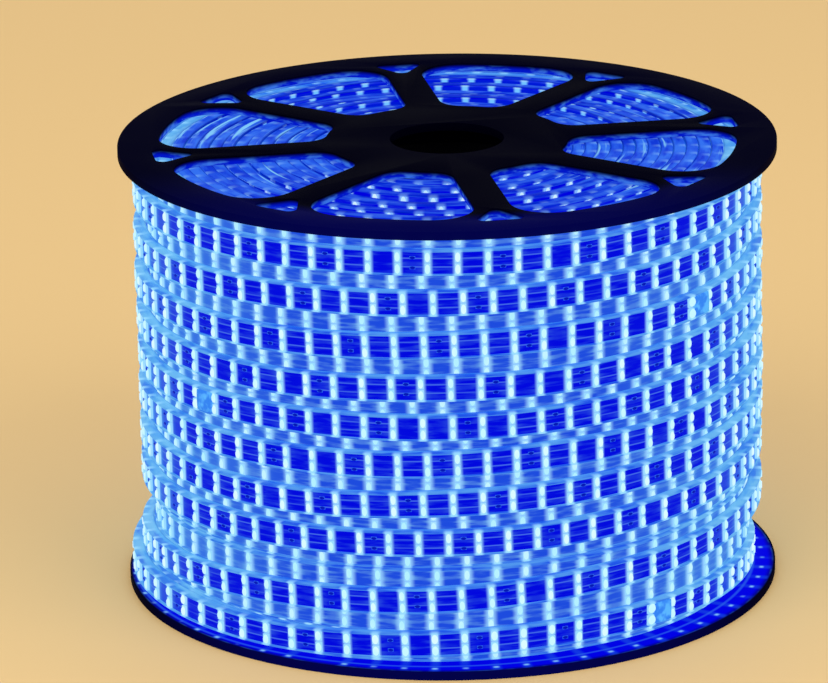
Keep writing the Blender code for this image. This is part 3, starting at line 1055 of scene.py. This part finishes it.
class ROPEREEL_OT_resistors(bpy.types.Operator):
    """Sets a pair of small resistors in every third cell of the outermost layer"""
    bl_idname = "rope_reel.resistors"
    bl_label = "Resistors"

    def execute(self, context):
        rope = context.scene.rope_sizes
        path = outer_path(rope)
        middles = np.arange(math.ceil(path.stations[0] + 1), math.floor(path.stations[-1] - 1), 3) + 0.5
        middles = middles[~np.isin(middles, joint_stations(path) + 0.5)]
        points = point_mesh("strip_resistors", [path_points(path, middles, face_height(rope))])
        # Painted light: the rope's blue glow on the resistors, dimmer on their bodies
        ends = Finish("resistor_ends", (0.0, 0.03, 0.08), 0.35, 0.02).lit((0.022, 0.10, 0.74))
        body = Finish("resistor_body", (0.0, 0.002, 0.02), 0.4, 0.02).lit((0.0, 0.005, 0.44))
        piece = run_tree("strip_resistors", points, *chip_tree(), {
            "Chip length": rope.resistor_length, "Chip width": rope.resistor_width,
            "Chip height": rope.resistor_height, "Chip gap": rope.width * RESISTOR_SPREAD,
            "Frame": ends, "Lens": body})
        declare(piece, "rope")
        return {"FINISHED"}


class ROPEREEL_OT_joints(bpy.types.Operator):
    """Sets the plugs where lengths of strip are joined, and the cap on the rope's free end"""
    bl_idname = "rope_reel.joints"
    bl_label = "Joints and end cap"

    def execute(self, context):
        rope = context.scene.rope_sizes
        path = outer_path(rope)
        plug = joint_plastic()
        length = rope.pitch * PLUG_SHARE
        # Name, stations, height over the rope's inner side, width and height of each kind
        for name, numbers, lift, width, height in (
                ("strip_joints", joint_stations(path) + 0.5, rope.thickness - rope.recess * 0.50,
                 rope.width - 2 * rope.lip - 0.0002, rope.recess + 0.0003),
                ("rope_end_cap", path.stations[-1:] - 0.2, rope.thickness / 2 + 0.0002,
                 rope.width + 0.0006, rope.thickness + 0.0004)):
            points = point_mesh(name, [path_points(path, numbers, lift)])
            declare(run_tree(name, points, *joint_tree(), {
                "Length": length, "Width": width, "Height": height, "Plug": plug}), "rope")
        return {"FINISHED"}


class ROPEREEL_OT_under_turns(bpy.types.Operator):
    """Winds the layer that shows between the outermost turns"""
    bl_idname = "rope_reel.under_turns"
    bl_label = "Under turns"

    def execute(self, context):
        rope = context.scene.rope_sizes
        path = under_path(rope)
        made = bpy.data.materials
        face = strip_face("strip_face_under", rope, (0.012, 0.070, 0.70), (0.13, 0.36, 0.78), 1.0, 3.2,
                          (0.40, 0.95))
        sweep("under_turns", [path], rope, made["clear_wall"], face, made["strip_back"])
        glow = chip_light("chip_glow", (0.42, 0.78, 0.96), (0.54, 0.82, 0.97))
        place_chips("under_chips", [path], rope, rope.recess, made["chip_frame"], glow)
        return {"FINISHED"}


class ROPEREEL_OT_deep_turns(bpy.types.Operator):
    """Winds the close layer that backs the two outer ones"""
    bl_idname = "rope_reel.deep_turns"
    bl_label = "Deep turns"

    def execute(self, context):
        rope = context.scene.rope_sizes
        wall, face, back = [bpy.data.materials[n] for n in ("clear_wall", "strip_face_under", "strip_back")]
        sweep("deep_turns", [deep_path(rope)], rope, wall, face, back)
        return {"FINISHED"}


class ROPEREEL_OT_end_turns(bpy.types.Operator):
    """Lays the first and last turn of each inner layer, seen through the flanges"""
    bl_idname = "rope_reel.end_turns"
    bl_label = "End turns"

    def execute(self, context):
        rope = context.scene.rope_sizes
        # Front and side tones of the walls: base, pale and dark; the paler side ones are painted side light
        front = ((0.001, 0.012, 0.62), (0.022, 0.085, 0.72), (0.0, 0.004, 0.50))
        side = ((0.016, 0.075, 0.72), (0.034, 0.150, 0.80), (0.006, 0.028, 0.62))
        wall = strip_wall("clear_wall_end", rope, front, side, 0.30, 1.0, 0.08, 0.003, 0.85)
        face = strip_face("strip_face_end", rope, rope.deep, HAZE, 0.85, 1.9, (0.99, 0.0), painted_side_shade=True)
        # The chips' last colours paint them darker at the reel's left and right, as painted shade
        end_frame = chip_light("end_frame", (0.20, 0.42, 0.93), (0.28, 0.48, 0.95), (0.0, 0.020, 0.50))
        end_glow = chip_light("end_glow", (0.46, 0.69, 0.98), (0.60, 0.78, 1.0), (0.012, 0.060, 0.66))
        for name, paths in zip(("top_end", "bottom_end"), end_paths(rope)):
            sweep(name + "_turns", paths, rope, wall, face, bpy.data.materials["strip_back"])
            place_chips(name + "_chips", paths, rope, rope.recess, end_frame, end_glow)
        return {"FINISHED"}


class ROPEREEL_OT_stage(bpy.types.Operator):
    """Sets the floor, the soft light and the camera"""
    bl_idname = "rope_reel.stage"
    bl_label = "Stage"

    def execute(self, context):
        stage = context.scene.stage_sizes
        make_floor(stage)
        make_lights()
        aim_camera(stage)
        soften_lights()
        context.scene.view_settings.view_transform = "Standard"
        context.scene.view_settings.look = "None"
        return {"FINISHED"}


def make_floor(stage):
    built = bmesh.new()
    bmesh.ops.create_grid(built, x_segments=2, y_segments=2, size=FLOOR_REACH)
    mesh = bpy.data.meshes.new("floor")
    built.to_mesh(mesh)
    built.free()
    floor = add_object("floor", mesh)
    floor.location.z = -FLOOR_DROP
    mesh.materials.append(Finish("plain_floor", stage.floor, 0.75, 0.2).material)


def make_lights():
    world = bpy.data.worlds.new("studio")
    world.use_nodes = True
    feed(world.node_tree, world.node_tree.nodes["Background"], {
        "Color": (0.97, 0.98, 1.0, 1.0), "Strength": WORLD_STRENGTH})
    bpy.context.scene.world = world
    for name, place, size, power in LAMPS:
        light = bpy.data.lights.new(name, "AREA")
        light.size = size
        light.energy = power
        lamp = add_object(name, light)
        lamp.location = place
        lamp.rotation_euler = (Vector((0, 0, 0.1)) - Vector(place)).to_track_quat("-Z", "Y").to_euler()


def aim_camera(stage):
    """Puts the reel's middle at its place in the photograph's frame."""
    data = bpy.data.cameras.new("photo_view")
    data.sensor_width = SENSOR_WIDTH
    data.lens = FOCAL_PIXELS / PHOTO_WIDTH * SENSOR_WIDTH
    data.clip_start, data.clip_end = 0.1, 100.0
    camera = add_object("photo_view", data)
    backward = Vector((0.0, -math.cos(stage.elevation), math.sin(stage.elevation)))
    down = Vector((0.0, -math.sin(stage.elevation), -math.cos(stage.elevation)))
    right = Vector((1.0, 0.0, 0.0))
    c, s = math.cos(stage.roll), math.sin(stage.roll)
    facing = Matrix((c * right + s * down, s * right - c * down, backward)).transposed().to_quaternion()
    seen = Vector((REEL_PIXEL[0] - PHOTO_WIDTH / 2, PHOTO_HEIGHT / 2 - REEL_PIXEL[1], -FOCAL_PIXELS))
    camera.rotation_mode = "QUATERNION"
    camera.rotation_quaternion = facing @ seen.rotation_difference(Vector((0.0, 0.0, -1.0)))
    camera.location = Vector((0.0, 0.0, REEL_HEIGHT / 2)) + backward * stage.distance
    bpy.context.scene.camera = camera


def soften_lights():
    """A slight bloom round the brightest lights, as a lens gives."""
    scene = bpy.context.scene
    scene.use_nodes = True
    tree = scene.node_tree
    tree.nodes.clear()
    bloom = node(tree, "CompositorNodeGlare", {
        "Image": node(tree, "CompositorNodeRLayers"), "Threshold": 0.86, "Strength": 0.60, "Size": 0.15},
        glare_type="FOG_GLOW", quality="HIGH")
    node(tree, "CompositorNodeComposite", {"Image": bloom})


OPERATORS = (
    ROPEREEL_OT_flanges, ROPEREEL_OT_core, ROPEREEL_OT_outer_turns, ROPEREEL_OT_resistors, ROPEREEL_OT_joints,
    ROPEREEL_OT_under_turns, ROPEREEL_OT_deep_turns, ROPEREEL_OT_end_turns, ROPEREEL_OT_stage)


class VIEW3D_PT_rope_reel(bpy.types.Panel):
    """The pieces and sizes of the reel"""
    bl_label = "Rope Reel"
    bl_idname = "VIEW3D_PT_rope_reel"
    bl_space_type = "VIEW_3D"
    bl_region_type = "UI"
    bl_category = "Rope Reel"

    def draw(self, context):
        for operator in OPERATORS:
            self.layout.operator(operator.bl_idname)
        for group in (context.scene.reel_sizes, context.scene.rope_sizes, context.scene.stage_sizes):
            box = self.layout.box()
            for key in group.__annotations__:
                box.prop(group, key)


CLASSES = (ReelSizes, RopeSizes, StageSizes) + OPERATORS + (VIEW3D_PT_rope_reel,)


def register():
    for cls in CLASSES:
        bpy.utils.register_class(cls)
    bpy.types.Scene.reel_sizes = PointerProperty(type=ReelSizes)
    bpy.types.Scene.rope_sizes = PointerProperty(type=RopeSizes)
    bpy.types.Scene.stage_sizes = PointerProperty(type=StageSizes)


def unregister():
    del bpy.types.Scene.stage_sizes
    del bpy.types.Scene.rope_sizes
    del bpy.types.Scene.reel_sizes
    for cls in reversed(CLASSES):
        bpy.utils.unregister_class(cls)


def main():
    register()
    for operator in OPERATORS:
        group, name = operator.bl_idname.split(".")
        getattr(getattr(bpy.ops, group), name)()


if __name__ == "__main__":
    main()
